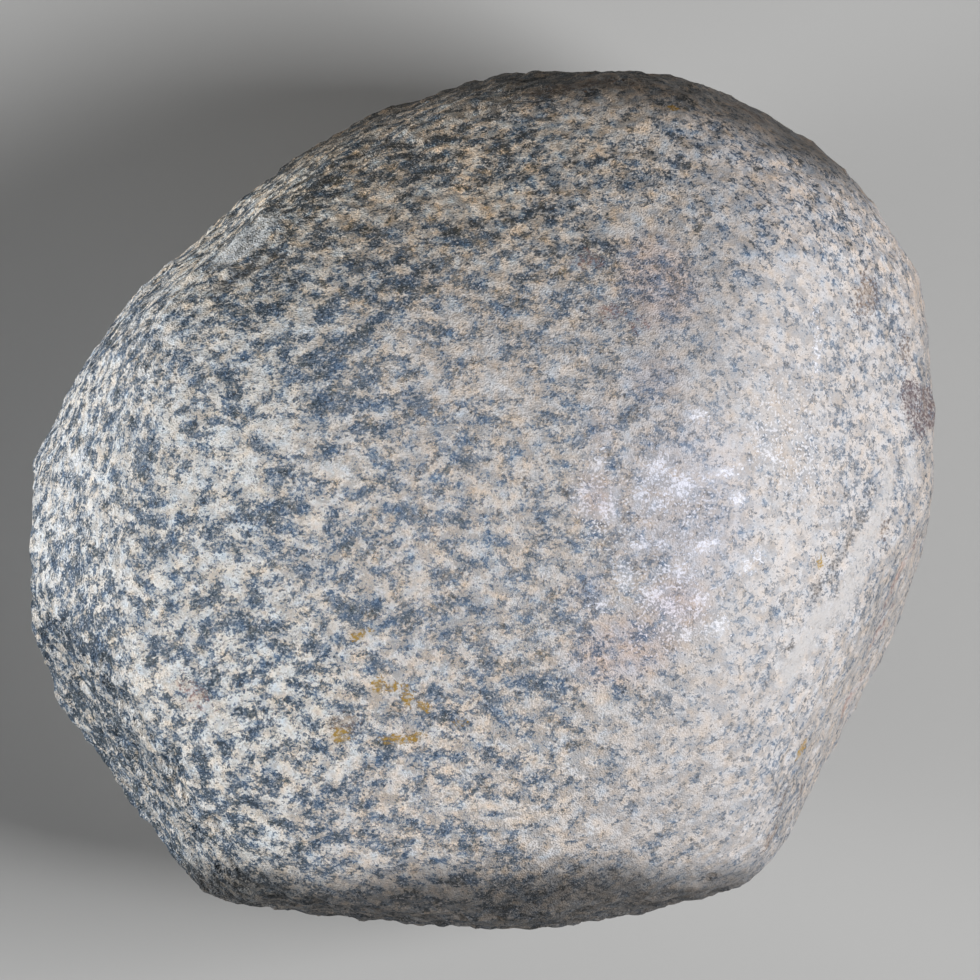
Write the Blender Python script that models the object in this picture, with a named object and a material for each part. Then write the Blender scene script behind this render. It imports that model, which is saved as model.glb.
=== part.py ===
"""A stone pestle: one hand-sized cobble of speckled grey granodiorite, worn by pounding and rubbing.

The stone is a single solid. It starts as a smooth oval cobble. Each worn side is a facet that cuts
into the cobble by its own depth, and each knock is a small hollow or knob on top of that. What is
left is about 96 mm long, 91 mm wide and 66 mm thick.

Metres, +Z up. The stone lies on its worn back, with its broad face up. A bearing is an angle round
the rim, in degrees anticlockwise from +X seen from above, and a lift is an angle above the rim.
"""

import math
from collections import namedtuple

import bmesh
import bpy
from mathutils import Vector, noise

# The cobble before wear
COBBLE_LENGTH = 0.1025
COBBLE_WIDTH = 0.0920
COBBLE_THICKNESS = 0.0710
COBBLE_BEARING = 37.0
COBBLE_FULLNESS = 2.15

# Low swells all over, left by weather and pecking
SWELL_HEIGHT = 0.0004
SWELL_SPACING = 0.016

# How deep the resting flat is ground into the back
REST_CUT = 0.0007

# A facet cuts only where the surface faces its own way by at least this cosine
LEAST_FACING = 0.1

# Mesh, with the angle in degrees past which an edge is shaded sharp
SIDES_PER_FACE = 26
SHORTEST_EDGE = 0.0002
SHARP_EDGE_ANGLE = 35.0

Facet = namedtuple("Facet", "bearing lift wear edge")

# How far each worn side cuts into the cobble, and how softly its edge turns
FACETS = {
    "broad face": Facet(bearing=235, lift=82, wear=0.0020, edge=0.0080),
    "face leaning to the top": Facet(bearing=98, lift=58, wear=0.0045, edge=0.0080),
    "brow": Facet(bearing=110, lift=30, wear=0.0056, edge=0.0060),
    "right of the face": Facet(bearing=0, lift=40, wear=0.0034, edge=0.0080),
    "right rim": Facet(bearing=4, lift=2, wear=0.0040, edge=0.0020),
    "upper right rim": Facet(bearing=64, lift=8, wear=0.0012, edge=0.0030),
    "top rim": Facet(bearing=90, lift=4, wear=0.0030, edge=0.0030),
    "top left rim": Facet(bearing=110, lift=5, wear=0.0049, edge=0.0030),
    "upper left rim": Facet(bearing=130, lift=6, wear=0.0055, edge=0.0030),
    "left upper rim": Facet(bearing=150, lift=3, wear=0.0034, edge=0.0030),
    "left shoulder": Facet(bearing=168, lift=25, wear=0.0034, edge=0.0030),
    "left rim": Facet(bearing=184, lift=0, wear=0.0016, edge=0.0020),
    "lower left side": Facet(bearing=214, lift=11, wear=0.0048, edge=0.0015),
    "pounding end left": Facet(bearing=263, lift=4, wear=0.0060, edge=0.0012),
    "pounding end right": Facet(bearing=284, lift=5, wear=0.0039, edge=0.0012),
    "lower right shoulder": Facet(bearing=333, lift=30, wear=0.0038, edge=0.0020),
    "lower right side": Facet(bearing=333, lift=8, wear=0.0063, edge=0.0020),
    "lower right rim": Facet(bearing=346, lift=0, wear=0.0043, edge=0.0015),
    "back": Facet(bearing=30, lift=-88, wear=0.0012, edge=0.0050),
    "back at the left": Facet(bearing=185, lift=-58, wear=0.0022, edge=0.0080),
    "back at the top": Facet(bearing=75, lift=-50, wear=0.0010, edge=0.0080),
    "back at the pounding end": Facet(bearing=275, lift=-42, wear=0.0034, edge=0.0050),
}

Knock = namedtuple("Knock", "bearing lift width rise")

# Small hollows (negative rise) and knobs (positive rise)
KNOCKS = {
    "hollow in the upper left edge": Knock(bearing=134, lift=8, width=0.012, rise=-0.0006),
    "hollow in the upper right edge": Knock(bearing=53, lift=5, width=0.009, rise=-0.0005),
    "knob on the right edge": Knock(bearing=14, lift=10, width=0.008, rise=0.0006),
    "left heel": Knock(bearing=240, lift=4, width=0.010, rise=0.0004),
    "notch beside the right heel": Knock(bearing=294, lift=4, width=0.009, rise=-0.0018),
    "right heel": Knock(bearing=306, lift=4, width=0.030, rise=0.0015),
}

STONE_COLOUR = (0.42, 0.40, 0.39, 1.0)
STONE_ROUGHNESS = 0.75


def clear_scene():
    for old in list(bpy.data.objects):
        bpy.data.objects.remove(old)


def direction(bearing, lift):
    """The unit vector at a bearing and a lift, both in degrees."""
    around = math.radians(bearing)
    up = math.radians(lift)
    return Vector((math.cos(up) * math.cos(around), math.cos(up) * math.sin(around), math.sin(up)))


def cobble_parts(vector):
    """A vector's parts along the cobble's length, width and thickness."""
    turn = math.radians(COBBLE_BEARING)
    along = vector.x * math.cos(turn) + vector.y * math.sin(turn)
    across = vector.y * math.cos(turn) - vector.x * math.sin(turn)
    return abs(along), abs(across), abs(vector.z)


def cobble_radius(unit):
    """Distance from the middle to the unworn cobble's surface."""
    halves = COBBLE_LENGTH / 2, COBBLE_WIDTH / 2, COBBLE_THICKNESS / 2
    total = sum((part / half) ** COBBLE_FULLNESS for part, half in zip(cobble_parts(unit), halves))
    return total ** (-1 / COBBLE_FULLNESS)


def cobble_reach(unit):
    """Distance from the middle to the flat plane that just touches the unworn cobble."""
    halves = COBBLE_LENGTH / 2, COBBLE_WIDTH / 2, COBBLE_THICKNESS / 2
    dual = COBBLE_FULLNESS / (COBBLE_FULLNESS - 1)
    return sum((part * half) ** dual for part, half in zip(cobble_parts(unit), halves)) ** (1 / dual)


def softer_of(first, second, edge):
    """The smaller of two distances, turning from one to the other over the edge's width."""
    overlap = max(edge - abs(first - second), 0.0) / edge
    return min(first, second) - overlap * overlap * edge / 4


def worn_radius(unit):
    """Distance from the middle to the worn surface."""
    radius = cobble_radius(unit)
    for facet in FACETS.values():
        normal = direction(facet.bearing, facet.lift)
        facing = normal.dot(unit)
        if facing > LEAST_FACING:
            plane = (cobble_reach(normal) - facet.wear) / facing
            radius = softer_of(radius, plane, facet.edge)
    for knock in KNOCKS.values():
        away = (unit - direction(knock.bearing, knock.lift)).length * radius
        radius += knock.rise * math.exp(-((away / (knock.width / 2)) ** 2))
    return radius + SWELL_HEIGHT * noise.noise(unit * radius / SWELL_SPACING)


def ball_of_squares(mesh):
    """A unit ball with even square faces, made from a cube."""
    bmesh.ops.create_cube(mesh, size=2)
    bmesh.ops.subdivide_edges(mesh, edges=mesh.edges[:], cuts=SIDES_PER_FACE - 1, use_grid_fill=True)
    for vertex in mesh.verts:
        vertex.co = Vector([math.tan(share * math.pi / 4) for share in vertex.co]).normalized()


def cut_resting_flat(mesh):
    """Cuts the back off flat and closes it, so that the stone lies still."""
    level = min(vertex.co.z for vertex in mesh.verts) + REST_CUT
    everything = mesh.verts[:] + mesh.edges[:] + mesh.faces[:]
    cut = bmesh.ops.bisect_plane(
        mesh, geom=everything, plane_co=(0, 0, level), plane_no=(0, 0, -1), clear_outer=True
    )
    rim = [edge for edge in cut["geom_cut"] if isinstance(edge, bmesh.types.BMEdge)]
    bmesh.ops.dissolve_degenerate(mesh, dist=SHORTEST_EDGE, edges=rim)
    open_rim = [edge for edge in mesh.edges if edge.is_boundary]
    bmesh.ops.contextual_create(mesh, geom=open_rim)


def stand_on_ground(mesh):
    """Moves the stone so that it is centred over the origin and its flat is at height zero."""
    lowest = Vector([min(vertex.co[axis] for vertex in mesh.verts) for axis in range(3)])
    highest = Vector([max(vertex.co[axis] for vertex in mesh.verts) for axis in range(3)])
    middle = (lowest + highest) / 2
    bmesh.ops.translate(mesh, verts=mesh.verts[:], vec=(-middle.x, -middle.y, -lowest.z))


def stone_material():
    material = bpy.data.materials.new("granodiorite")
    material.use_nodes = True
    shader = material.node_tree.nodes["Principled BSDF"]
    shader.inputs["Base Color"].default_value = STONE_COLOUR
    shader.inputs["Roughness"].default_value = STONE_ROUGHNESS
    shader.inputs["Metallic"].default_value = 0.0
    material.diffuse_color = STONE_COLOUR
    return material


def build_pestle(collection):
    mesh = bmesh.new()
    ball_of_squares(mesh)
    for vertex in mesh.verts:
        vertex.co = vertex.co * worn_radius(vertex.co)
    cut_resting_flat(mesh)
    stand_on_ground(mesh)
    bmesh.ops.recalc_face_normals(mesh, faces=mesh.faces[:])
    data = bpy.data.meshes.new("pestle")
    mesh.to_mesh(data)
    mesh.free()
    data.materials.append(stone_material())
    data.shade_smooth()
    data.set_sharp_from_angle(angle=math.radians(SHARP_EDGE_ANGLE))
    pestle = bpy.data.objects.new("pestle", data)
    collection.objects.link(pestle)
    return pestle


def main():
    clear_scene()
    collection = bpy.data.collections.new("stone pestle")
    bpy.context.scene.collection.children.link(collection)
    build_pestle(collection)


main()
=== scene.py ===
"""A stone pestle: a worn cobble of speckled grey granodiorite, lying with its broad face up.

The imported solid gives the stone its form. This script models the same stone again with the fine
relief of its skin, gives it its speckled finish, and sets it on a pale floor under soft lamps, seen
from straight above.

Metres, +Z up. Places on the stone are in millimetres from its middle, as seen from above: x to the
right and y away from the pounding end.
"""

import math
from collections import namedtuple

import bpy
import numpy as np
from bpy.props import FloatProperty, FloatVectorProperty, PointerProperty
from bpy.types import Operator, Panel, PropertyGroup
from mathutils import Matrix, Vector, noise


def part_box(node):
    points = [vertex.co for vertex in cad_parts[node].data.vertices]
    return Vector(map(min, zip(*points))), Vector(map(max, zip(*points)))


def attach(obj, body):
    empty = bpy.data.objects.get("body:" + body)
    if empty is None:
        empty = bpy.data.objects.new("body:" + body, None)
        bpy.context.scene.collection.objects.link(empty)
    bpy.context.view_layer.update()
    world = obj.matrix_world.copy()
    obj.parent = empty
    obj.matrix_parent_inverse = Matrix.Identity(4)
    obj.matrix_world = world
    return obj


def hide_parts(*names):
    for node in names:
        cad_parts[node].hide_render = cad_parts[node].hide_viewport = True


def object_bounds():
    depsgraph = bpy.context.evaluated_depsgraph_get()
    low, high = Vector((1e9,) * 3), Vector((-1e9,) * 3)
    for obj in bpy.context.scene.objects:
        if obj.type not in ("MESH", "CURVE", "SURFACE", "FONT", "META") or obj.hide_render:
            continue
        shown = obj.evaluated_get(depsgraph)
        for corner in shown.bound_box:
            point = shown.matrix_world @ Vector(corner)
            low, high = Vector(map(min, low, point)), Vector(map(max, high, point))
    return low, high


bl_info = {
    "name": "Stone Pestle",
    "version": (1, 0, 0),
    "blender": (4, 5, 0),
    "location": "3D View > Sidebar > Pestle",
    "description": "Models a worn granodiorite pestle with its pecked skin, speckled finish and studio",
    "category": "Object",
}

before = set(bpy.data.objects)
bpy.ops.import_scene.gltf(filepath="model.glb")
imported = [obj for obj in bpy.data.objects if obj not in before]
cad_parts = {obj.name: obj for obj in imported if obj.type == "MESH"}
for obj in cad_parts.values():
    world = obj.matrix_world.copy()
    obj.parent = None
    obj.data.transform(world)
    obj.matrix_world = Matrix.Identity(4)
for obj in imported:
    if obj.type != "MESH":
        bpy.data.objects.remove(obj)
CAD_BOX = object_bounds()

SOLID = "pestle"
BODY = "root"
FINISH = "granodiorite"
MM = 0.001

# The ball that the stone is shaped from: half the cube that it starts as, and how often the cube's
# sides are halved
BALL_HALF = 0.060
HALVINGS = 7

# Softens the solid's flat faces into one skin
SOFTENING = 0.5
SOFTENING_ROUNDS = 12

# The share of a layer's depth that it takes off on average, and the least weight that sinks a point
MEAN_WEAR = 0.5
LEAST_WEIGHT = 0.002

# Skin that faces a side of the solid's box by less than this counts as facing it by this much
LEAST_FACING = 0.05


def length(name, description, default):
    """A setting that is a length."""
    return FloatProperty(name=name, description=description, default=default, unit="LENGTH", precision=5)


def colour(name, description, default):
    """A setting that is a colour."""
    return FloatVectorProperty(
        name=name, description=description, default=default, subtype="COLOR", size=3, min=0, max=1
    )


def power(name, description, default):
    """A setting that is a lamp's power."""
    return FloatProperty(name=name, description=description, default=default, unit="POWER", min=0)


class PestleRelief(PropertyGroup):
    """How rough the stone's skin is. Every depth is how far the skin sinks at most."""

    pit_depth: length("Pit depth", "Depth of the small pits all over the stone", 0.0004)
    pit_spacing: length("Pit spacing", "Distance from one small pit to the next", 0.0013)
    dimple_depth: length("Dimple depth", "Depth of the shallow dimples between the grains", 0.0005)
    dimple_spacing: length("Dimple spacing", "Distance from one dimple to the next", 0.0034)
    peck_depth: length("Peck depth", "Depth of the peck marks on the rims and the pounding end", 0.00045)
    peck_spacing: length("Peck spacing", "Distance from one peck mark to the next", 0.0030)
    scallop_depth: length("Scallop depth", "Depth of the chipped scallops round the rims", 0.0007)
    scallop_spacing: length("Scallop spacing", "Distance from one scallop to the next", 0.0046)
    flake_depth: length("Flake depth", "Depth of the splintered steps on the lower sides", 0.0010)
    flake_spacing: length("Flake spacing", "Distance across from one splintered step to the next", 0.0016)
    grain_depth: length("Grain depth", "Height of the finest grain, drawn as bump only", 0.00014)


class PestleColours(PropertyGroup):
    """The colours of the stone's minerals and stains."""

    navy: colour("Navy", "The darkest specks, in the middle of the dark grains", (0.028, 0.050, 0.078))
    slate: colour("Slate", "Dark mica and hornblende grains", (0.088, 0.137, 0.206))
    blue_grey: colour("Blue grey", "Fine dark grains mixed with pale ones", (0.182, 0.231, 0.296))
    grey: colour("Grey", "Glassy quartz", (0.332, 0.359, 0.392))
    cream: colour("Cream", "Feldspar, most of the stone", (0.552, 0.531, 0.508))
    white: colour("White", "Bruised and freshly struck grains", (0.92, 0.92, 0.91))
    # The white of the glints: partly pale quartz, partly painted highlights where light glints off
    # polished grains.
    frost: colour("Frost", "Bluish white glints of bruised quartz", (0.92, 0.95, 1.0))
    smear: colour("Smear", "Smooth pale grey streak on the right side", (0.60, 0.60, 0.59))
    # Also the colour of a painted shadow line under the flake scar's edge.
    crack: colour("Crack", "Dark grit in the crack beside the streak", (0.13, 0.125, 0.12))
    brown: colour("Brown", "Iron stain on the rims", (0.22, 0.15, 0.10))
    rust: colour("Rust", "Rusty feldspar", (0.45, 0.26, 0.20))
    scar: colour("Scar", "Pale blue-grey flake scar at the upper left", (0.72, 0.79, 0.88))
    plum: colour("Plum", "Dark purple-brown knob on the right edge", (0.140, 0.108, 0.115))
    lichen: colour("Lichen", "Ochre flecks of lichen", (0.42, 0.27, 0.05))


class PestleStage(PropertyGroup):
    """The floor, the lamps and the camera."""

    floor_colour: colour("Floor", "Colour of the floor", (0.50, 0.50, 0.495))
    floor_width: length("Floor width", "Side of the square floor", 6.0)
    right_power: power("Right lamp", "Power of the high lamp on the right", 6.2)
    left_power: power("Left lamp", "Power of the low lamp on the left", 5.8)
    sky: FloatProperty(
        name="Sky", description="Strength of the even light from all round", default=0.03, min=0
    )
    camera_height: length("Camera height", "Height of the camera above the stone's widest level", 1.5)
    seen_width: length("Width seen", "Width that the picture shows at the stone's widest level", 0.10327)


def deselect_all():
    for piece in bpy.context.selected_objects:
        piece.select_set(False)


def apply_modifiers(piece):
    """Applies every modifier of the piece, first to last."""
    bpy.context.view_layer.objects.active = piece
    for modifier in list(piece.modifiers):
        bpy.ops.object.modifier_apply(modifier=modifier.name)


def add_ball(middle):
    """A ball of even square faces, larger than the stone, made from a cube."""
    deselect_all()
    bpy.ops.mesh.primitive_cube_add(size=2 * BALL_HALF, location=middle)
    ball = bpy.context.object
    bpy.ops.object.mode_set(mode="EDIT")
    for _ in range(HALVINGS):
        bpy.ops.mesh.subdivide(number_cuts=1)
        bpy.ops.transform.tosphere(value=1)
    bpy.ops.object.mode_set(mode="OBJECT")
    return ball


def fit_to_solid(stone):
    """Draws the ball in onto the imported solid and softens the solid's flat faces."""
    wrap = stone.modifiers.new("onto the solid", "SHRINKWRAP")
    wrap.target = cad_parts[SOLID]
    wrap.wrap_method = "PROJECT"
    wrap.use_negative_direction = True
    wrap.use_positive_direction = False
    soften = stone.modifiers.new("soften", "SMOOTH")
    soften.factor = SOFTENING
    soften.iterations = SOFTENING_ROUNDS
    apply_modifiers(stone)
    bpy.ops.object.transform_apply(location=True, rotation=True, scale=True)


def skin_places(stone):
    """Every point of the stone in millimetres, and the way that its skin faces there."""
    count = len(stone.data.vertices)
    places = np.empty(count * 3)
    facings = np.empty(count * 3)
    stone.data.vertices.foreach_get("co", places)
    stone.data.vertex_normals.foreach_get("vector", facings)
    return places.reshape(count, 3) / MM, facings.reshape(count, 3)


def ease(values, start, end):
    """Rises smoothly from 0 at the start to 1 at the end."""
    share = np.clip((values - start) / (end - start), 0.0, 1.0)
    return share * share * (3.0 - 2.0 * share)


def weighted(values, weights):
    """A plain number, if the weights hold one, plus each named value times its weight."""
    total = weights.get("plain")
    for name, weight in weights.items():
        if name != "plain":
            part = values[name] * weight
            total = part if total is None else total + part
    return total


def cloud_texture(name, spacing, contrast=1.0):
    """Soft uneven hollows."""
    texture = bpy.data.textures.new(name, "CLOUDS")
    texture.noise_scale = spacing
    texture.contrast = contrast
    return texture


def cell_texture(name, spacing):
    """Round hollows with sharp ridges between them, as pecking leaves."""
    texture = bpy.data.textures.new(name, "VORONOI")
    texture.noise_scale = spacing
    return texture


def stretch_guide(streak):
    """An empty whose long axis draws a texture out into streaks."""
    deselect_all()
    bpy.ops.object.empty_add(rotation=(0.0, 0.0, math.radians(streak.turn)))
    guide = bpy.context.object
    guide.scale = (streak.stretch, 1.0, 1.0)
    bpy.context.view_layer.update()
    return guide


def sink(stone, name, depth, weights, texture=None, guide=None):
    """Sinks the skin by up to a depth where the weights are 1, less where the texture is bright.

    A depth below 0 raises the skin.
    """
    group = stone.vertex_groups.new(name=name)
    for index in np.flatnonzero(weights > LEAST_WEIGHT).tolist():
        group.add([index], float(weights[index]), "REPLACE")
    modifier = stone.modifiers.new(name, "DISPLACE")
    modifier.vertex_group = name
    modifier.direction = "NORMAL"
    if texture is None:
        modifier.mid_level = 0.0
        modifier.strength = -depth
    else:
        modifier.texture = texture
        modifier.mid_level = 1.0
        modifier.strength = depth
        modifier.texture_coords = "LOCAL" if guide is None else "OBJECT"
        modifier.texture_coords_object = guide
    apply_modifiers(stone)
    stone.vertex_groups.remove(stone.vertex_groups[name])
    if texture is not None:
        bpy.data.textures.remove(texture)
    if guide is not None:
        bpy.data.objects.remove(guide)


Hollow = namedtuple("Hollow", "x y long wide turn depth")

# Single hollows on the upper side: where each is, its half length and half width in mm, its turn in
# degrees, and its depth in mm
HOLLOWS = {
    "flake scar at the upper left": Hollow(x=-24.8, y=26.3, long=3.6, wide=1.9, turn=42, depth=0.50),
    "dark edge under the scar": Hollow(x=-22.9, y=24.4, long=3.2, wide=0.7, turn=32, depth=0.45),
    "notch beside the right heel": Hollow(x=23.0, y=-39.9, long=1.6, wide=1.0, turn=20, depth=0.80),
    "gouge on the lower left side": Hollow(x=-33.4, y=-32.6, long=1.6, wide=0.8, turn=-50, depth=0.60),
    "round pit": Hollow(x=24.8, y=-17.4, long=0.5, wide=0.5, turn=0, depth=0.30),
    "pit at the top": Hollow(x=24.3, y=38.6, long=0.9, wide=0.5, turn=10, depth=0.40),
    "pit left of it": Hollow(x=14.6, y=36.2, long=1.2, wide=0.5, turn=-20, depth=0.30),
    "crack beside the smear": Hollow(x=38.6, y=-3.8, long=3.2, wide=0.5, turn=70, depth=0.35),
    "streak below the crack": Hollow(x=37.0, y=-9.1, long=0.9, wide=0.4, turn=40, depth=0.30),
}


def mark_axes(places, facings, mark):
    """A mark's middle on the upper side, and the ways along it, across it and out of the stone."""
    upper = np.flatnonzero(facings[:, 2] > 0)
    nearest = upper[np.argmin(np.hypot(places[upper, 0] - mark.x, places[upper, 1] - mark.y))]
    facing = facings[nearest]
    turn = math.radians(mark.turn)
    along = np.array((math.cos(turn), math.sin(turn), 0.0))
    along -= facing * (along @ facing)
    along /= np.linalg.norm(along)
    middle = np.array((mark.x, mark.y, places[nearest, 2]))
    return middle, along, np.cross(facing, along), facing


def hollow_weights(places, facings, hollow):
    """1 in the middle of a hollow, fading to 0 past its rim."""
    middle, along, across, facing = mark_axes(places, facings, hollow)
    offsets = places - middle
    lengthways = offsets @ along / hollow.long
    crossways = offsets @ across / hollow.wide
    depthways = offsets @ facing / hollow.long
    return np.exp(-(lengthways**2 + crossways**2 + depthways**2))


Layer = namedtuple("Layer", "name depth weights texture guide", defaults=(None,))
Fade = namedtuple("Fade", "start end")
Side = namedtuple("Side", "bearing lift start end")
Streak = namedtuple("Streak", "turn stretch")

# Where kinds of skin start and where they are full, in mm across the stone and above its flat
SMOOTH_AT_RIGHT = Fade(4.0, 30.0)
ROUGH_AT_LEFT = Fade(12.0, 36.0)
PECKED_AT_TOP = Fade(12.0, 34.0)
OFF_THE_FLAT = Fade(0.3, 3.0)

# The same by how much the skin faces outwards, towards the top, or towards one side
ON_THE_RIM = Fade(0.45, 0.95)
ON_THE_EDGE = Fade(0.75, 0.97)
FACING_TOP = Fade(0.1, 0.7)
SPLINTERED_SIDE = Side(bearing=214, lift=11, start=0.78, end=0.95)
POUNDED_SIDE = Side(bearing=273, lift=2, start=0.80, end=0.95)

# How strongly each kind of wear shows, by the kind of skin it is on
WEAR = {
    "rough": {"rim": 1.0, "left": 0.6},
    "dimples": {"plain": 0.35, "smooth": -0.24, "rough": 0.65},
    "pits": {"plain": 0.3, "smooth": -0.25, "rough": 0.7},
    "scallops": {"plain": 1.0, "flaked": -0.7},
    "pecks": {"rim": 0.25, "top": 0.6, "pounding": 0.8},
    "end steps": {"pounding": 0.6},
}

# How sharply the hollows of a texture end, and which way the splintered steps run
PIT_CONTRAST = 1.4
SCALLOP_CONTRAST = 1.3
STEP_CONTRAST = 2.2
SIDE_STEPS = Streak(turn=-52, stretch=3.5)
END_STEPS = Streak(turn=4, stretch=2.2)


def direction(bearing, lift):
    """The unit vector at a bearing round the rim and a lift above it, both in degrees."""
    around = math.radians(bearing)
    up = math.radians(lift)
    return np.array((math.cos(up) * math.cos(around), math.cos(up) * math.sin(around), math.sin(up)))


def side_share(facings, side):
    """1 where the skin faces a side, fading to 0 as it turns away."""
    return ease(facings @ direction(side.bearing, side.lift), side.start, side.end)


def relief_layers(places, facings, relief):
    """The textured wear: dimples, pits, scallops, peck marks and splintered steps."""
    x, y, z = places.T
    off_flat = ease(z, *OFF_THE_FLAT)
    outward = np.hypot(facings[:, 0], facings[:, 1])
    edge = ease(outward, *ON_THE_EDGE)
    lower_left = side_share(facings, SPLINTERED_SIDE)
    pounding = side_share(facings, POUNDED_SIDE)
    skin = {
        "smooth": ease(x, *SMOOTH_AT_RIGHT),
        "rim": ease(outward, *ON_THE_RIM),
        "left": ease(-x, *ROUGH_AT_LEFT),
        "top": ease(y, *PECKED_AT_TOP) * ease(facings[:, 1], *FACING_TOP),
        "pounding": pounding,
        "flaked": np.maximum(lower_left, pounding),
    }
    skin["rough"] = np.clip(weighted(skin, WEAR["rough"]), 0, 1)
    pecked = np.clip(weighted(skin, WEAR["pecks"]), 0, 1)
    return (
        Layer(
            "dimples",
            relief.dimple_depth,
            off_flat * weighted(skin, WEAR["dimples"]),
            cloud_texture("dimples", relief.dimple_spacing),
        ),
        Layer(
            "pits",
            relief.pit_depth,
            off_flat * weighted(skin, WEAR["pits"]),
            cloud_texture("pits", relief.pit_spacing, PIT_CONTRAST),
        ),
        Layer(
            "scallops",
            relief.scallop_depth,
            off_flat * edge * weighted(skin, WEAR["scallops"]),
            cloud_texture("scallops", relief.scallop_spacing, SCALLOP_CONTRAST),
        ),
        Layer("pecks", relief.peck_depth, off_flat * pecked, cell_texture("pecks", relief.peck_spacing)),
        Layer(
            "steps on the lower left side",
            relief.flake_depth,
            off_flat * lower_left,
            cloud_texture("steps on the lower left side", relief.flake_spacing, STEP_CONTRAST),
            stretch_guide(SIDE_STEPS),
        ),
        Layer(
            "steps on the pounding end",
            relief.flake_depth,
            off_flat * weighted(skin, WEAR["end steps"]),
            cloud_texture("steps on the pounding end", relief.flake_spacing, STEP_CONTRAST),
            stretch_guide(END_STEPS),
        ),
    )


def room_in_box(places, facings):
    """How far each point can move outwards, in metres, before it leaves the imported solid's box."""
    low, high = (np.array(corner) / MM for corner in CAD_BOX)
    ahead = np.where(facings > 0, high - places, places - low)
    return (ahead / np.maximum(np.abs(facings), LEAST_FACING)).min(axis=1) * MM


def carve_relief(stone, relief):
    """Raises the skin by what its wear will take off on average, then wears it and cuts the hollows."""
    places, facings = skin_places(stone)
    layers = relief_layers(places, facings, relief)
    lost = sum(layer.depth * MEAN_WEAR * layer.weights for layer in layers)
    raised = np.clip(np.minimum(lost, room_in_box(places, facings)), 0, None)
    sink(stone, "raised", -raised.max(), raised / raised.max())
    for layer in layers:
        sink(stone, *layer)
    for name, hollow in HOLLOWS.items():
        sink(stone, name, hollow.depth * MM, hollow_weights(places, facings, hollow))


# The Mix node's sockets for colours, and the number that random blotches swing round
MIX_SHARE = 0
MIX_UNDER = 6
MIX_OVER = 7
MIX_RESULT = 2
NOISE_MIDDLE = 0.5


class Value:
    """What one socket of a material gives. Sums on it add the shader's own maths."""

    def __init__(self, recipe, socket):
        self.recipe = recipe
        self.socket = socket

    def joined(self, operation, first, second):
        return self.recipe.node("ShaderNodeMath", {"operation": operation}, {0: first, 1: second})

    def __add__(self, other):
        return self.joined("ADD", self, other)

    def __sub__(self, other):
        return self.joined("SUBTRACT", self, other)

    def __rsub__(self, other):
        return self.joined("SUBTRACT", other, self)

    def __mul__(self, other):
        return self.joined("MULTIPLY", self, other)

    __radd__ = __add__
    __rmul__ = __mul__


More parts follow.
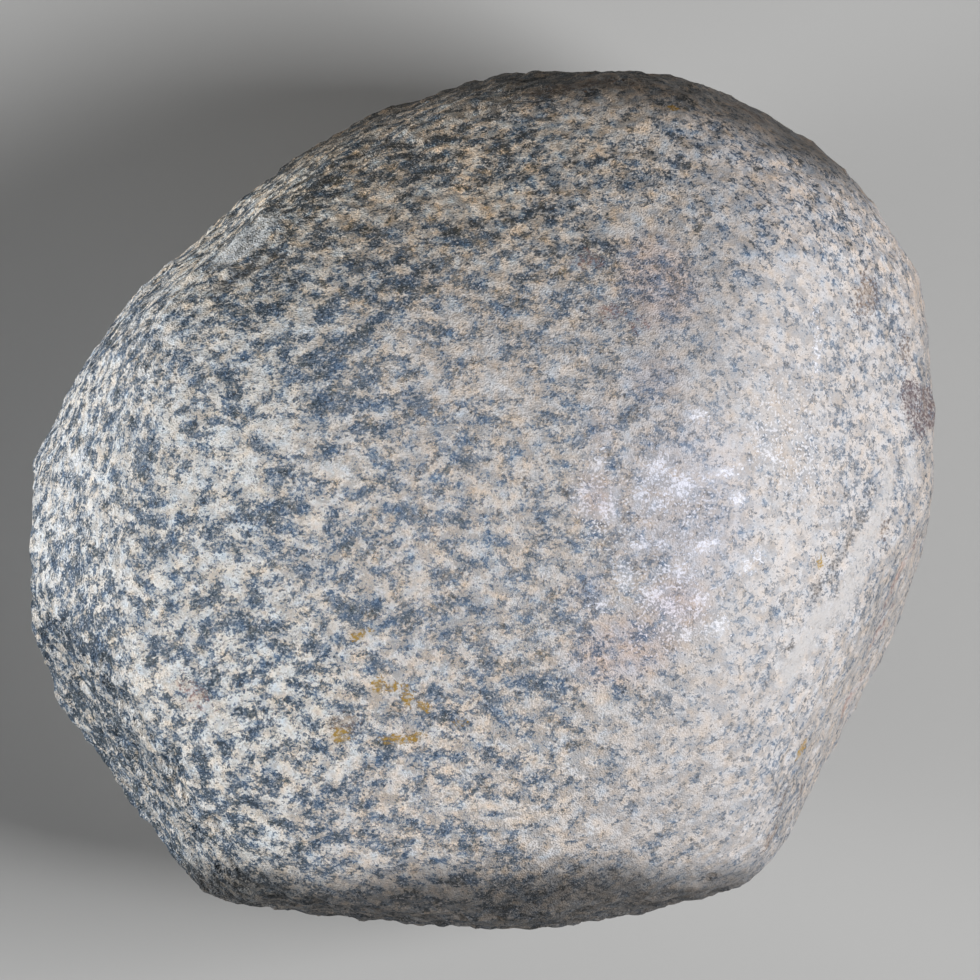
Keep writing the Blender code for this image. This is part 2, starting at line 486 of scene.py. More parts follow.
class Recipe:
    """A material, built node by node."""

    def __init__(self, name):
        self.material = bpy.data.materials.new(name)
        self.material.use_nodes = True
        self.tree = self.material.node_tree
        self.shader = self.tree.nodes["Principled BSDF"]

    def feed(self, socket, value):
        """Links a value to a socket, or sets the socket to a plain number or colour."""
        if isinstance(value, Value):
            self.tree.links.new(value.socket, socket)
        else:
            socket.default_value = value

    def node(self, kind, settings=None, inputs=None, output=0):
        """Adds a node with its settings and what feeds its sockets, and gives one of its outputs."""
        node = self.tree.nodes.new(kind)
        for name, setting in (settings or {}).items():
            if name == "stops":
                self.set_stops(node.color_ramp, setting)
            else:
                setattr(node, name, setting)
        for name, value in (inputs or {}).items():
            self.feed(node.inputs[name], value)
        return Value(self, node.outputs[output])

    def set_stops(self, ramp, stops):
        """Sets a ramp's places and colours."""
        while len(ramp.elements) < len(stops):
            ramp.elements.new(1.0)
        for element, (place, stop_colour) in zip(ramp.elements, stops):
            element.position = place
            element.color = stop_colour

    def blend(self, mode, under, over):
        """Two colours blended in full by one of Blender's modes."""
        settings = {"data_type": "RGBA", "blend_type": mode}
        inputs = {MIX_SHARE: 1.0, MIX_UNDER: under, MIX_OVER: over}
        return self.node("ShaderNodeMix", settings, inputs, MIX_RESULT)

    def mixed(self, share, under, over):
        """One colour laid over another by a share."""
        inputs = {MIX_SHARE: share, MIX_UNDER: under, MIX_OVER: over}
        return self.node("ShaderNodeMix", {"data_type": "RGBA"}, inputs, MIX_RESULT)

    def scaled(self, vector, factor):
        """A colour or a vector times a number."""
        return self.node("ShaderNodeVectorMath", {"operation": "SCALE"}, {0: vector, "Scale": factor})

    def shifted(self, amount, change, start):
        """A colour that changes from a start in step with an amount."""
        inputs = {0: amount, 1: change, 2: start}
        return self.node("ShaderNodeVectorMath", {"operation": "MULTIPLY_ADD"}, inputs)

    def rise(self, value, fade):
        """Rises smoothly from 0 where the value is at the fade's start to 1 where it is at its end."""
        inputs = {"Value": value, "From Min": fade.start, "From Max": fade.end}
        return self.node("ShaderNodeMapRange", {"interpolation_type": "SMOOTHSTEP"}, inputs)

    def drawn(self, where, pattern):
        """Places for a pattern, drawn out into streaks along one way if it is stretched."""
        if pattern.stretch == 1.0:
            return where
        inputs = {
            "Vector": where,
            "Rotation": (0.0, 0.0, math.radians(pattern.turn)),
            "Scale": (pattern.stretch, 1.0, 1.0),
        }
        return self.node("ShaderNodeMapping", {"vector_type": "TEXTURE"}, inputs)

    def noise(self, where, pattern, output="Fac"):
        """Soft random blotches, from about 0 to 1."""
        inputs = {
            "Vector": self.drawn(where, pattern),
            "Scale": 1.0 / pattern.spacing,
            "Detail": pattern.detail,
            "Roughness": pattern.roughness,
        }
        return self.node("ShaderNodeTexNoise", {}, inputs, output)

    def swing(self, where, pattern):
        """Soft random blotches that swing evenly round 0."""
        return self.noise(where, pattern) - NOISE_MIDDLE

    def cells(self, where, pattern):
        """Angular grains, each of its own even brightness, which swings round 0."""
        inputs = {"Vector": self.drawn(where, pattern), "Scale": 1.0 / pattern.spacing}
        grains = self.node("ShaderNodeTexVoronoi", {}, inputs, "Color")
        return self.node("ShaderNodeSeparateColor", {}, {0: grains}) - NOISE_MIDDLE

    def ridge(self, where, pattern, fade):
        """Thin wandering streaks, 1 along the middle of each and 0 between them."""
        away = self.node("ShaderNodeMath", {"operation": "ABSOLUTE"}, {0: self.swing(where, pattern)})
        return self.rise(away, fade)

    def painted(self, name, output="Fac"):
        """What is painted on the stone's points under a name."""
        return self.node("ShaderNodeAttribute", {"attribute_name": name}, {}, output)


def rgba(colour_setting):
    return (*colour_setting, 1.0)


Spot = namedtuple("Spot", "x y long wide turn", defaults=(0,))

# Marks on the upper side, by kind: where each is, its half length and half width, and its turn
MARKS = {
    "lichen": (
        Spot(-12.3, -14.0, 1.2, 0.45, 20),
        Spot(-10.6, -19.0, 0.9, 0.6, 70),
        Spot(-9.1, -19.3, 0.8, 0.5),
        Spot(-7.6, -20.3, 0.5, 1.0, 10),
        Spot(-6.0, -21.2, 0.9, 0.45, -30),
        Spot(-14.4, -24.3, 1.1, 0.8),
        Spot(-9.0, -24.8, 1.5, 0.55, 2),
        Spot(-6.6, -24.4, 0.9, 0.45, 10),
        Spot(-2.2, -23.0, 0.7, 0.45),
        Spot(19.9, 40.6, 0.7, 0.6),
        Spot(33.2, -25.9, 1.2, 0.8, 40),
        Spot(35.1, -6.6, 0.4, 0.7),
    ),
    "brown": (
        Spot(27.8, 40.6, 2.2, 1.4, -30),
        Spot(33.6, -30.2, 1.2, 1.0, 40),
        Spot(30.0, -35.6, 1.4, 1.0, 40),
        Spot(31.2, -31.8, 1.0, 0.3, 60),
        Spot(41.6, -2.8, 0.6, 1.0),
        Spot(9.3, 43.0, 4.5, 1.0),
        Spot(-14.2, -23.2, 1.4, 1.0, 20),
        Spot(-28.5, -40.4, 0.9, 0.6, -30),
        Spot(40.0, 21.0, 1.6, 2.4, -20),
        Spot(44.2, 15.5, 0.8, 1.4),
    ),
    "rust": (
        Spot(13.0, 19.4, 0.8, 0.6),
        Spot(10.9, 24.7, 1.0, 0.7, 20),
        Spot(-29.5, -20.3, 1.6, 1.0, -40),
        Spot(16.5, 17.8, 0.6, 0.4),
        Spot(43.4, -8.0, 2.8, 0.9, 75),
        Spot(41.4, -14.0, 2.8, 0.8, 70),
        Spot(38.4, -21.5, 2.6, 0.8, 66),
    ),
    # Painted highlights: white glints where light glints off the polished middle and the left edge,
    # partly pale quartz.
    "frost": (
        Spot(20.6, 1.4, 0.8, 0.9),
        Spot(19.9, 2.3, 0.6, 0.5),
        Spot(12.9, -0.9, 0.5, 0.9, 20),
        Spot(11.9, 3.7, 0.4, 0.5),
        Spot(16.3, 0.5, 0.5, 0.5),
        Spot(18.8, -0.1, 0.6, 0.4, 40),
        Spot(26.4, 0.1, 0.5, 0.5),
        Spot(16.7, -4.7, 0.9, 0.4),
        Spot(17.5, -9.8, 0.9, 0.7),
        Spot(12.1, -10.9, 0.5, 0.5),
        Spot(24.3, -13.0, 0.8, 0.5, 10),
        Spot(20.9, -13.8, 0.4, 0.4),
        Spot(20.7, -7.5, 0.8, 0.5, -30),
        Spot(22.4, 8.7, 0.8, 0.4, -20),
        Spot(25.1, 2.8, 0.9, 0.25, 10),
        Spot(18.0, 3.4, 1.0, 0.5, 60),
        Spot(14.6, -8.0, 0.5, 0.9, 20),
        Spot(22.8, -4.8, 1.1, 0.35, 15),
        Spot(19.2, -10.8, 1.2, 0.5, -50),
        Spot(22.6, -10.2, 0.6, 0.6),
        Spot(10.4, 0.2, 0.4, 0.8, -10),
        Spot(27.6, -6.6, 0.7, 0.3, 30),
        Spot(29.8, 4.6, 0.7, 0.3, -20),
        Spot(34.6, 15.7, 0.2, 0.8),
        Spot(-44.0, -3.2, 0.9, 0.5, 60),
        Spot(-42.0, 4.0, 1.4, 0.8, 10),
    ),
    "smear": (
        Spot(44.8, 3.0, 1.1, 1.4),
        Spot(42.2, 1.4, 2.4, 0.8, 80),
        Spot(40.9, -2.2, 2.2, 1.0, 68),
        Spot(39.2, -5.6, 2.2, 1.1, 62),
        Spot(38.6, -8.6, 2.4, 1.6, 50),
        Spot(37.4, -11.0, 2.2, 1.5, 30),
        Spot(34.6, -13.2, 2.8, 1.6, 45),
        Spot(32.2, -17.0, 2.6, 1.4, 70),
    ),
    "crack": (
        Spot(40.3, 0.2, 1.1, 0.4, 75),
        Spot(39.0, -2.6, 1.5, 0.45, 60),
        Spot(37.8, -4.8, 1.4, 0.5, 55),
        Spot(36.3, -7.2, 1.6, 0.6, 50),
        Spot(34.9, -9.2, 1.2, 0.6, 45),
        Spot(37.0, -9.6, 0.7, 0.35, 75),
        Spot(32.0, -15.4, 0.7, 0.5),
        # Painted shadow: a dark line under the edge of the flake scar.
        Spot(-22.8, 24.3, 3.2, 0.7, 30),
        Spot(-26.8, 22.0, 1.8, 0.7, 45),
    ),
    "plum": (
        Spot(44.9, 10.4, 1.9, 2.2, 10),
        Spot(46.4, 9.4, 2.6, 2.4),
        Spot(45.6, 7.6, 1.0, 1.2),
    ),
    "scar": (
        Spot(-25.0, 26.5, 3.8, 2.6, 44),
        Spot(-22.4, 29.0, 1.8, 1.6, 42),
    ),
}

Stain = namedtuple("Stain", "kind share soft")

# How strongly each kind of mark is painted, and how softly its edge fades, in mm
STAINS = (
    Stain("brown", share=0.5, soft=0.5),
    Stain("rust", share=0.4, soft=0.5),
    Stain("scar", share=0.85, soft=0.35),
    Stain("smear", share=0.85, soft=0.3),
    Stain("crack", share=0.55, soft=0.35),
    Stain("plum", share=0.75, soft=0.4),
    Stain("lichen", share=0.8, soft=0.15),
    Stain("frost", share=0.85, soft=0.5),
)

# A point that no mark reaches, and the furthest outside a mark that is told apart
FAR_OUTSIDE = -9.0
STAIN_REACH = -3.0

Zone = namedtuple("Zone", "x y long wide turn soft", defaults=(0, 2.0))

# Oval zones, each with its own soft edge: more dark clots, fewer, bluish, purplish, and white glints
# painted into the colour, partly pale quartz and partly painted highlights off polished grains
ZONES = {
    "darker": (
        Zone(-23.6, 22.4, 5.5, 1.8, 20),
        Zone(-29.6, 21.8, 2.4, 1.4, 40),
        Zone(-2.4, -35.4, 4.0, 2.2, 20),
        Zone(-38.0, -9.6, 1.4, 1.2, 20),
        Zone(-10.0, 10.5, 4.0, 2.6),
        Zone(-22.0, -30.5, 6.5, 2.6, -8),
        Zone(-11.0, -31.0, 4.0, 2.4),
        Zone(8.5, 14.5, 3.5, 2.4),
        Zone(18.0, 21.0, 3.0, 2.0),
        Zone(-3.5, 34.5, 3.0, 1.6),
        Zone(-38.0, -15.5, 3.0, 3.0),
        Zone(45.0, 14.5, 2.2, 2.0),
        Zone(42.0, 20.0, 1.6, 3.0, 15),
        Zone(35.0, -9.5, 2.4, 1.0, 45),
        Zone(38.0, 3.0, 1.8, 1.0, 10),
    ),
    "paler": (
        Zone(-40.5, 1.5, 3.4, 4.6),
        Zone(5.0, 22.0, 4.5, 3.5),
        Zone(4.6, -23.8, 3.5, 3.5),
        Zone(-14.5, 5.0, 5.0, 3.0),
        Zone(8.0, -32.0, 9.0, 6.0),
        Zone(-27.0, -37.0, 3.0, 1.6),
    ),
    "bluer": (
        Zone(11.2, -9.6, 1.9, 2.2, -20),
        Zone(17.8, 12.2, 2.8, 2.6, 30),
        Zone(12.5, 7.0, 1.6, 2.6),
        Zone(20.5, -1.0, 7.0, 9.0, 0, 4.0),
    ),
    "purpler": (
        Zone(14.6, -15.4, 5.4, 3.4, 15),
        Zone(11.6, 0.2, 1.7, 2.2),
        Zone(20.0, -11.0, 3.0, 2.4),
        Zone(18.2, 22.5, 3.6, 5.0, 20),
    ),
    # Painted highlights: where white glints are painted in most thickly.
    "frosted": (
        Zone(19.0, 0.0, 5.5, 4.0, -30, 3.0),
        Zone(19.0, -11.0, 6.0, 5.0, 20, 3.0),
        Zone(12.5, -1.0, 3.0, 5.0, 10, 2.5),
        Zone(32.0, 6.0, 5.0, 7.0, 30, 4.0),
        Zone(-43.0, -4.0, 2.0, 6.0, 0, 2.0),
    ),
}


def inside_marks(places, facings, marks):
    """How far each point lies inside the nearest of some oval marks, in mm, less than 0 outside them."""
    inside = np.full(len(places), FAR_OUTSIDE)
    for mark in marks:
        middle, along, across, facing = mark_axes(places, facings, mark)
        offsets = places - middle
        lengthways = offsets @ along / mark.long
        crossways = offsets @ across / mark.wide
        depthways = offsets @ facing / max(mark.long, mark.wide)
        far = np.sqrt(lengthways**2 + crossways**2 + depthways**2)
        inside = np.maximum(inside, (1.0 - far) * min(mark.long, mark.wide))
    return inside


def zone_share(places, facings, zones):
    """1 well inside any of some zones, fading to 0 outside them."""
    share = np.zeros(len(places))
    for zone in zones:
        inside = inside_marks(places, facings, (zone,))
        share = np.maximum(share, ease(inside, -zone.soft, zone.soft))
    return share


def blotches(places, spacing):
    """Soft random blotches, from about -1 to 1, at the stone's points."""
    return np.array([noise.noise(Vector(place) / spacing) for place in places])


def tinted(tint, share, colour_factors):
    """Multiplies a tint at every point by the factors where the share is 1."""
    return tint * (1.0 + share[:, None] * (np.array(colour_factors) - 1.0))


def write_values(stone, name, values):
    stone.data.attributes.new(name, "FLOAT", "POINT").data.foreach_set("value", values)


def write_colours(stone, name, values):
    stone.data.attributes.new(name, "FLOAT_COLOR", "POINT").data.foreach_set("color", values.ravel())


Change = namedtuple(
    "Change",
    "hue_spread glassy clot_share contrast lightness vividness tint",
    defaults=(0.0, 0.0, 0.0, 0.0, 0.0, 0.0, (1.0, 1.0, 1.0)),
)

# What is painted on plain stone, and what each region of the stone adds to it. The tint's red, green
# and blue multiply the colour. hue_spread is how much the pale grains differ in hue, glassy is how
# much quartz shows, and clot_share is how readily dark clots form.
PLAIN = Change(hue_spread=0.85, glassy=0.05, contrast=1.0, lightness=0.715, vividness=1.0)
CHANGES = {
    "broad blotches": Change(clot_share=0.07),
    "small blotches": Change(clot_share=0.05),
    "left": Change(contrast=0.3, lightness=-0.02),
    "far left": Change(contrast=0.25),
    "middle": Change(
        hue_spread=0.1,
        glassy=0.06,
        clot_share=-0.008,
        contrast=-0.15,
        lightness=-0.002,
        tint=(1.03, 0.99, 0.985),
    ),
    "right": Change(
        hue_spread=-0.25,
        glassy=0.03,
        clot_share=-0.072,
        contrast=-0.25,
        lightness=-0.03,
        vividness=-0.3,
        tint=(1.02, 0.987, 1.0),
    ),
    "top": Change(hue_spread=0.6, contrast=0.6, lightness=-0.08),
    "dull top": Change(vividness=-0.35, tint=(1.08, 0.99, 0.85)),
    "low": Change(contrast=0.22, lightness=-0.012, tint=(1.01, 1.0, 0.985)),
    "polished": Change(lightness=0.01),
    # Painted shade: the brow along the top rim is darkened where it leans away from the lamps.
    "brow": Change(lightness=-0.10, tint=(0.35, 0.32, 0.285)),
    # Painted shade: the pounding end is darkened where the lamps only graze it.
    "pounding end": Change(lightness=-0.12, vividness=-0.3, tint=(0.34, 0.325, 0.305)),
    "left rim": Change(clot_share=0.015, lightness=-0.09, tint=(1.015, 1.0, 0.97)),
    "lower left": Change(clot_share=0.02, contrast=0.1, lightness=-0.10, tint=(1.015, 1.0, 0.975)),
    "upper left": Change(clot_share=0.02, contrast=0.2),
    "upper right": Change(tint=(1.03, 0.982, 0.94)),
    "right edge": Change(clot_share=0.012, contrast=0.15),
    "right rim": Change(lightness=-0.09, tint=(1.05, 0.98, 0.90)),
    "darker": Change(clot_share=0.035),
    "paler": Change(clot_share=-0.04),
    "bluer": Change(tint=(0.97, 0.985, 1.05)),
    "purpler": Change(tint=(1.0, 0.945, 0.967)),
    "frosted": Change(clot_share=-0.02, contrast=-0.2),
}

# Regions by the way that the skin faces, with the cosines at which each starts and is full
SIDES = {
    "left rim": Side(bearing=196, lift=0, start=0.80, end=0.97),
    "lower left": Side(bearing=214, lift=10, start=0.76, end=0.94),
    "upper left": Side(bearing=132, lift=6, start=0.75, end=0.96),
    "upper right": Side(bearing=50, lift=12, start=0.70, end=0.92),
    "right edge": Side(bearing=8, lift=8, start=0.60, end=0.85),
    "right rim": Side(bearing=356, lift=0, start=0.80, end=0.96),
}

# Regions by place: where each starts and where it is full, in mm from the middle
LEFT = Fade(6.0, 26.0)
FAR_LEFT = Fade(34.0, 42.0)
RIGHT = Fade(-2.0, 32.0)
TOP = Fade(14.0, 36.0)
LOW = Fade(10.0, 26.0)
POLISHED_FROM = Fade(14.0, 22.0)
POLISHED_UP_TO = Fade(42.0, 36.0)
POLISHED_BELOW = Fade(18.0, 6.0)

# How far apart the wanderings of the regions' edges are, and how far they go, in mm
WANDER_APART = 12.0
LEFT_WANDER = 8.0
RIGHT_WANDER = 7.0
TOP_WANDER = 5.0

# How far apart the blotches with more or fewer clots are, in mm
BROAD_BLOTCHES = 9.0
SMALL_BLOTCHES = 4.5

# Painted shade on the pounding end, where the lamps only graze the skin: the colour is darkened there.
# It starts sooner the further right it is, at the left heel, and near the middle of the end, each by its
# own length in mm.
END_SHADE = Fade(37.4, 42.4)
END_SLOPE = 0.04
LEFT_HEEL = Fade(8.0, 26.0)
LEFT_HEEL_SOONER = 2.5
END_MIDDLE = 3.0
NEAR_END_MIDDLE = Fade(22.0, 8.0)
END_MIDDLE_SOONER = 1.4

# Painted shade along the top rim, the brow, which leans away from the lamps: the colour is darkened
# there.
# It bends down away from its middle, starts sooner at the left by a length in mm, and fades out at its
# left end.
BROW_SHADE = Fade(40.0, 44.0)
BROW_MIDDLE = 5.0
BROW_BEND = 0.008
BROW_LEFT = Fade(6.0, 20.0)
BROW_LEFT_SOONER = 2.2
BROW_LEFT_END = Fade(-32.0, -20.0)


def region_shares(places, facings):
    """How far every point belongs to each region of the stone, from 0 to 1.

    The blotches are regions too, and go from about -1 to 1.
    """
    x, y, _ = places.T
    wander = blotches(places, WANDER_APART)
    left = ease(-x + LEFT_WANDER * wander, *LEFT)
    right = ease(x + RIGHT_WANDER * wander, *RIGHT)
    top = ease(y + TOP_WANDER * wander, *TOP)
    # Painted shade on the pounding end, by how far each point lies towards it.
    end = -y + END_SLOPE * x + LEFT_HEEL_SOONER * ease(-x, *LEFT_HEEL)
    end = end + END_MIDDLE_SOONER * ease(np.abs(x - END_MIDDLE), *NEAR_END_MIDDLE) + wander
    # Painted shade along the top rim, by how far each point lies towards it.
    brow = y + BROW_BEND * (x - BROW_MIDDLE) ** 2 + BROW_LEFT_SOONER * ease(-x, *BROW_LEFT) + wander
    shares = {
        "broad blotches": blotches(places, BROAD_BLOTCHES),
        "small blotches": blotches(places, SMALL_BLOTCHES),
        "left": left,
        "far left": ease(-x, *FAR_LEFT),
        "middle": (1 - left) * (1 - right),
        "right": right,
        "top": top,
        "dull top": top * (1 - right),
        "low": ease(-y, *LOW) * (1 - right),
        "polished": ease(x, *POLISHED_FROM) * ease(x, *POLISHED_UP_TO) * ease(y, *POLISHED_BELOW),
        "brow": ease(brow, *BROW_SHADE) * ease(x, *BROW_LEFT_END),
        "pounding end": ease(end, *END_SHADE),
    }
    for name, side in SIDES.items():
        shares[name] = side_share(facings, side)
    for name, zones in ZONES.items():
        shares[name] = zone_share(places, facings, zones)
    return shares


def paint_regions(stone, places, facings):
    """Paints what changes from region to region."""
    shares = region_shares(places, facings)
    write_values(stone, "rubbed", shares["right"])
    write_values(stone, "frosted", shares["frosted"])
    for quality in Change._fields:
        if quality != "tint":
            changes = {name: getattr(CHANGES[name], quality) for name in shares}
            write_values(stone, quality, getattr(PLAIN, quality) + weighted(shares, changes))
    tint = np.ones((len(places), 3))
    for name, share in shares.items():
        tint = tinted(tint, share, CHANGES[name].tint)
    write_colours(stone, "tint", np.column_stack((tint, np.ones(len(tint)))))


def paint_stains(stone, places, facings, colours):
    """Paints how far inside the nearest mark every point is, and that mark's colour and strength."""
    edge = np.full(len(places), FAR_OUTSIDE)
    stain_colours = np.zeros((len(places), 4))
    for stain in STAINS:
        inside = inside_marks(places, facings, MARKS[stain.kind]) / stain.soft
        over = (inside > edge) | (inside > 0)
        edge[over] = inside[over]
        stain_colours[over] = (*getattr(colours, stain.kind), stain.share)
    write_values(stone, "stain", np.maximum(edge, STAIN_REACH))
    write_colours(stone, "stain_colour", stain_colours)


def paint_points(stone, colours):
    """Paints how the stone changes from place to place onto its points, for the material to read."""
    places, facings = skin_places(stone)
    paint_regions(stone, places, facings)
    paint_stains(stone, places, facings, colours)


Pattern = namedtuple("Pattern", "spacing detail roughness turn stretch", defaults=(2.0, 0.5, 0, 1.0))

# The finish's random patterns. Each has the distance between its blotches or grains in mm, how many
# finer layers it has and how strong they are, and which way and how far it is drawn out.
PATTERNS = {
    "wander": Pattern(0.5, detail=1.0),
    "lanes": Pattern(5.0, detail=0.0),
    "grain": Pattern(0.32, roughness=0.6, turn=8, stretch=1.4),
    "dust": Pattern(0.17, detail=0.0),
    "clots": Pattern(1.35, detail=4.0, roughness=0.62, turn=-10, stretch=2.1),
    "slants": Pattern(1.35, detail=4.0, roughness=0.62, turn=42, stretch=2.1),
    "specks": Pattern(0.7, detail=3.0, roughness=0.6, turn=-35, stretch=1.4),
    "crystals": Pattern(1.1, turn=25, stretch=1.5),
    "grits": Pattern(0.36, turn=10, stretch=1.5),
    "fibres": Pattern(0.9, roughness=0.6, turn=-28, stretch=2.6),
    "glints": Pattern(1.7, turn=-20, stretch=1.3),
    "busy": Pattern(0.9, detail=0.0),
    "hues": Pattern(1.3),
    "pits": Pattern(0.27, detail=0.0, turn=60, stretch=1.6),
    "sparkle": Pattern(0.28, detail=0.0),
}

# Where each soft step of the finish starts and where it is full
STEPS = {
    "lanes": Fade(0.47, 0.60),
    "fibres": Fade(0.045, 0.0),
    "clotted": Fade(-0.055, 0.07),
    "cores": Fade(0.02, 0.10),
    "quartz": Fade(0.01, 0.04),
    "busy": Fade(0.44, 0.62),
    "pits": Fade(0.65, 0.73),
    "stain": Fade(-1.0, 1.0),
    "flecks": Fade(0.65, 0.72),
}

# What goes into each mixture of the finish. rubbed, frosted and clotted are 1 where the stone is
# rubbed smooth, where white glints are painted in as highlights and where a dark clot is.
MIXTURES = {
    "clots": {"plain": 1.0, "rubbed": -0.65},
    "fibres": {"plain": 0.025, "rubbed": 0.03},
    "specks": {"plain": 0.35, "rubbed": 0.65},
    "ragged": {"crystals": 0.055, "grits": 0.04, "grain": 0.24},
    "cores": {"ragged": 0.7, "grain": 0.65, "dust": 0.3, "grits": 0.04},
    "core depth": {"plain": 0.27, "rubbed": -0.03},
    "quartz": {"grits": 0.05},
    "busy": {"plain": 0.45, "rubbed": -0.15},
    "always busy": {"plain": 0.1, "clotted": 0.75, "rubbed": -0.08},
    "fine": {"grits": 0.16, "grain": 0.65, "dust": 0.5},
    "coarse": {"specks": 0.2, "crystals": 0.04},
    "tone": {"plain": 0.17, "clotted": -0.19},
    "hues": {"plain": 0.5, "clotted": 0.5},
    "pits": {"plain": 0.12, "clotted": 0.45, "rubbed": -0.07},
    "stain edge": {"grain": 5.0, "specks": 8.0},
    "stain": {"plain": 1.0, "grain": 4.0, "clotted": -0.35},
    "glint_clusters": {"plain": 0.04, "glints": 0.5},
    "flecks": {"plain": 0.22, "clotted": 0.2, "rubbed": -0.1, "frosted": 0.5},
    "bump": {"plain": 1.0, "rubbed": -0.7},
    "roughness": {"plain": 0.66, "rubbed": -0.06},
}

# The tone at which each mineral's colour is pure, from the darkest specks to bruised white grains
TONES = {"navy": 0.25, "slate": 0.41, "blue_grey": 0.53, "grey": 0.65, "cream": 0.78, "white": 0.95}

# How far the patterns stray from side to side, in mm, how pale grains change from yellowish to
# bluish, and the painted shade in the smallest pits, which the relief and bump don't carve
STRAY = 1.2
HUE_CHANGE = (1.0, 0.0, -1.1)
WHITE = (1.0, 1.0, 1.0)
PIT_SHADE = (0.05, 0.045, 0.04)


def stone_patterns(recipe, where):
    """The patterns that the stone's grains are made from, by name."""
    strays = recipe.scaled(recipe.noise(where, PATTERNS["wander"], "Color"), STRAY)
    strayed = recipe.node("ShaderNodeVectorMath", {"operation": "ADD"}, {0: where, 1: strays})
    lanes = recipe.rise(recipe.noise(where, PATTERNS["lanes"]), STEPS["lanes"])
    clots = recipe.swing(strayed, PATTERNS["clots"])
    slants = recipe.swing(strayed, PATTERNS["slants"])
    return {
        "clots": clots * (1 - lanes) + slants * lanes,
        "grain": recipe.swing(where, PATTERNS["grain"]),
        "dust": recipe.swing(where, PATTERNS["dust"]),
        "specks": recipe.swing(strayed, PATTERNS["specks"]),
        "glints": recipe.swing(strayed, PATTERNS["glints"]),
        "crystals": recipe.cells(strayed, PATTERNS["crystals"]),
        "grits": recipe.cells(strayed, PATTERNS["grits"]),
        "fibres": recipe.ridge(strayed, PATTERNS["fibres"], STEPS["fibres"]),
    }


def stone_material(colours, relief):
    """Speckled granodiorite: cream and grey grains with drawn-out dark clots, paler at the right."""
    recipe = Recipe(FINISH)
    where = recipe.scaled(recipe.node("ShaderNodeTexCoord", {}, {}, "Object"), 1 / MM)
    known = stone_patterns(recipe, where)
    known["rubbed"] = recipe.painted("rubbed")
    known["frosted"] = recipe.painted("frosted")

    def mixture(name):
        return weighted(known, MIXTURES[name])

    minerals = known["clots"] * mixture("clots") + known["fibres"] * mixture("fibres")
    minerals = minerals + known["specks"] * mixture("specks") + recipe.painted("clot_share")
    known["ragged"] = minerals + mixture("ragged")
    known["clotted"] = recipe.rise(known["ragged"], STEPS["clotted"])
    cores = recipe.rise(mixture("cores"), STEPS["cores"]) * mixture("core depth")
    quartz = recipe.rise(known["glints"] + mixture("quartz"), STEPS["quartz"]) * recipe.painted("glassy")
    busy = recipe.rise(recipe.noise(where, PATTERNS["busy"]), STEPS["busy"]) * mixture("busy")
    fine = mixture("fine") * (busy + mixture("always busy")) + mixture("coarse")
    tone = mixture("tone") - cores - quartz + fine
    tone = tone * recipe.painted("contrast") + recipe.painted("lightness")
    stops = [(place, rgba(getattr(colours, mineral))) for mineral, place in TONES.items()]
    paint = recipe.node("ShaderNodeValToRGB", {"stops": stops}, {0: tone})
    inputs = {"Saturation": recipe.painted("vividness"), "Color": paint}
    paint = recipe.node("ShaderNodeHueSaturation", {}, inputs)
    hues = recipe.swing(where, PATTERNS["hues"]) * recipe.painted("hue_spread") * mixture("hues")
    paint = recipe.blend("MULTIPLY", paint, recipe.shifted(hues, HUE_CHANGE, WHITE))
    # Painted shade: tiny dark pits dotted into the colour.
    pits = recipe.rise(recipe.noise(where, PATTERNS["pits"]), STEPS["pits"]) * mixture("pits")
    paint = recipe.mixed(pits, paint, rgba(PIT_SHADE))

    stained = recipe.rise(recipe.painted("stain") + mixture("stain edge"), STEPS["stain"])
    stained = stained * mixture("stain") * recipe.painted("stain_colour", "Alpha")
    paint = recipe.mixed(stained, paint, recipe.painted("stain_colour", "Color"))
    # Painted highlights: small white glints dotted into the colour, thickest in the frosted zones.
    sparkle = recipe.noise(where, PATTERNS["sparkle"]) + known["frosted"] * mixture("glint_clusters")
    flecks = recipe.rise(sparkle, STEPS["flecks"]) * mixture("flecks")
    paint = recipe.mixed(flecks, paint, rgba(colours.frost))
    paint = recipe.blend("MULTIPLY", paint, recipe.painted("tint", "Color"))

    height = (known["grain"] + known["dust"]) * mixture("bump")
    bump = recipe.node("ShaderNodeBump", {}, {"Height": height, "Distance": relief.grain_depth})
    recipe.feed(recipe.shader.inputs["Base Color"], paint)
    recipe.feed(recipe.shader.inputs["Roughness"], mixture("roughness"))
    recipe.feed(recipe.shader.inputs["Normal"], bump)
    return recipe.material


class PESTLE_OT_stone(Operator):
    """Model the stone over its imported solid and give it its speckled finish"""

    bl_idname = "pestle.stone"
    bl_label = "Stone"

    def execute(self, context):
        low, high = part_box(SOLID)
        stone = add_ball((low + high) / 2)
        stone.name = "pestle_stone"
        stone.data.name = "pestle_stone"
        fit_to_solid(stone)
        carve_relief(stone, context.scene.pestle_relief)
        bpy.ops.object.shade_smooth()
        paint_points(stone, context.scene.pestle_colours)
        stone.data.materials.append(
            stone_material(context.scene.pestle_colours, context.scene.pestle_relief)
        )
        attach(stone, BODY)
        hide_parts(SOLID)
        return {"FINISHED"}


Lamp = namedtuple("Lamp", "bearing lift size distance")

# Where the lamps are, how wide they are, how far from the stone, and what they point at
RIGHT_LAMP = Lamp(bearing=352, lift=46, size=0.30, distance=0.8)
LEFT_LAMP = Lamp(bearing=186, lift=9, size=0.20, distance=0.8)
LAMP_TARGET = (0.0, 0.0, 0.03)

FLOOR_ROUGHNESS = 0.9

# The camera: its place across the floor, the height of the stone's widest level, the width of its
# film in mm, and the nearest and furthest that it sees
CAMERA_X = 0.0009
CAMERA_Y = 0.00095
WIDEST_LEVEL = 0.0275
FILM_WIDTH = 36.0
NEAREST_SEEN = 0.01
FURTHEST_SEEN = 20.0


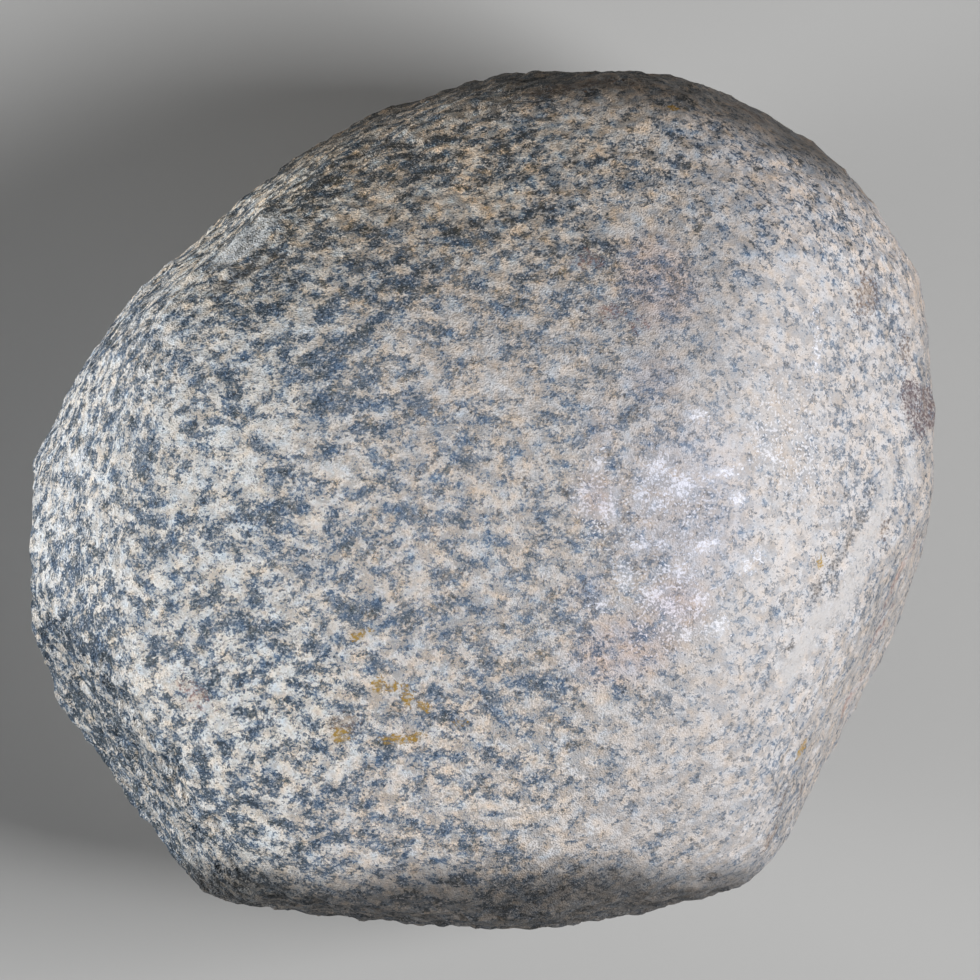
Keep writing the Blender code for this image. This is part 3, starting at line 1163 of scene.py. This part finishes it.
def add_lamp(name, lamp, watts):
    """A square soft lamp that points at the stone."""
    away = Vector(direction(lamp.bearing, lamp.lift))
    data = bpy.data.lights.new(name, "AREA")
    data.energy = watts
    data.size = lamp.size
    light = bpy.data.objects.new(name, data)
    light.location = Vector(LAMP_TARGET) + away * lamp.distance
    light.rotation_euler = (-away).to_track_quat("-Z", "Y").to_euler()
    light.visible_camera = False
    bpy.context.scene.collection.objects.link(light)


def add_floor(stage):
    deselect_all()
    bpy.ops.mesh.primitive_plane_add(size=stage.floor_width)
    floor = bpy.context.object
    floor.name = "floor"
    recipe = Recipe("floor")
    recipe.feed(recipe.shader.inputs["Base Color"], rgba(stage.floor_colour))
    recipe.feed(recipe.shader.inputs["Roughness"], FLOOR_ROUGHNESS)
    floor.data.materials.append(recipe.material)


def add_sky(stage):
    """A faint even light from all round."""
    world = bpy.data.worlds.new("sky")
    world.use_nodes = True
    sky = world.node_tree.nodes["Background"]
    sky.inputs["Color"].default_value = rgba(WHITE)
    sky.inputs["Strength"].default_value = stage.sky
    bpy.context.scene.world = world
    bpy.context.scene.view_settings.view_transform = "Standard"


def add_camera(stage):
    """A camera with a long lens, which looks straight down on the stone."""
    data = bpy.data.cameras.new("camera")
    data.sensor_width = FILM_WIDTH
    data.lens = FILM_WIDTH * stage.camera_height / stage.seen_width
    data.clip_start = NEAREST_SEEN
    data.clip_end = FURTHEST_SEEN
    camera = bpy.data.objects.new("camera", data)
    camera.location = (CAMERA_X, CAMERA_Y, stage.camera_height + WIDEST_LEVEL)
    bpy.context.scene.collection.objects.link(camera)
    bpy.context.scene.camera = camera


class PESTLE_OT_stage(Operator):
    """Lay the floor and set up the lamps, the sky and the camera"""

    bl_idname = "pestle.stage"
    bl_label = "Stage"

    def execute(self, context):
        stage = context.scene.pestle_stage
        add_floor(stage)
        add_lamp("right lamp", RIGHT_LAMP, stage.right_power)
        add_lamp("left lamp", LEFT_LAMP, stage.left_power)
        add_sky(stage)
        add_camera(stage)
        return {"FINISHED"}


class PESTLE_PT_panel(Panel):
    """The pestle's settings and its making, in the 3D view's sidebar"""

    bl_idname = "PESTLE_PT_panel"
    bl_label = "Stone Pestle"
    bl_space_type = "VIEW_3D"
    bl_region_type = "UI"
    bl_category = "Pestle"

    def draw(self, context):
        groups = (
            ("Relief", context.scene.pestle_relief),
            ("Colours", context.scene.pestle_colours),
            ("Stage", context.scene.pestle_stage),
        )
        for title, group in groups:
            box = self.layout.box()
            box.label(text=title)
            for setting in group.bl_rna.properties.keys():
                if setting not in {"rna_type", "name"}:
                    box.prop(group, setting)
        self.layout.operator(PESTLE_OT_stone.bl_idname)
        self.layout.operator(PESTLE_OT_stage.bl_idname)


CLASSES = (PestleRelief, PestleColours, PestleStage, PESTLE_OT_stone, PESTLE_OT_stage, PESTLE_PT_panel)


def register():
    for piece in CLASSES:
        bpy.utils.register_class(piece)
    bpy.types.Scene.pestle_relief = PointerProperty(type=PestleRelief)
    bpy.types.Scene.pestle_colours = PointerProperty(type=PestleColours)
    bpy.types.Scene.pestle_stage = PointerProperty(type=PestleStage)


def unregister():
    del bpy.types.Scene.pestle_stage
    del bpy.types.Scene.pestle_colours
    del bpy.types.Scene.pestle_relief
    for piece in reversed(CLASSES):
        bpy.utils.unregister_class(piece)


def main():
    register()
    bpy.ops.pestle.stone()
    bpy.ops.pestle.stage()


if __name__ == "__main__":
    main()
